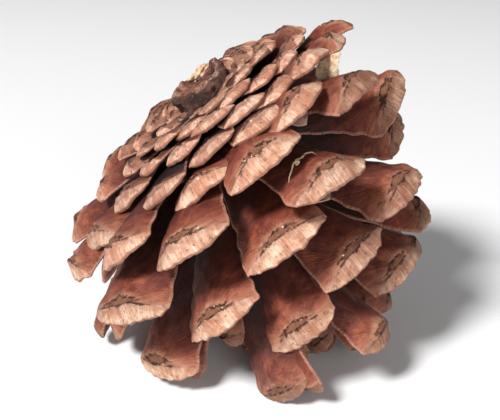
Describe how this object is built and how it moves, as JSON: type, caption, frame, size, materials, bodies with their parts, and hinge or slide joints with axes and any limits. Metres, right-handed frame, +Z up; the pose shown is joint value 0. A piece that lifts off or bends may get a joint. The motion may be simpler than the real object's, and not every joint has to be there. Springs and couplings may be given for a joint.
{
  "type": "pine cone",
  "caption": "Open woody pine cone lying base up: a flat base of shut scales round a broken stem scar, and wide open seed scales with keeled ends.",
  "frame": {"origin": "on the surface that the cone rests on, under the middle of its outline", "axes": "+Z up, away from the surface it rests on; -Y towards the picture's viewer; the cone's base faces up, left and a little to the viewer"},
  "size_m": [0.084, 0.083, 0.0762],
  "materials": {
    "cone_wood": "matte, a little glossy with resin on the scale ends"
  },
  "bodies": {
    "root": {"pine_cone": "cone_wood"}
  },
  "joints": []
}
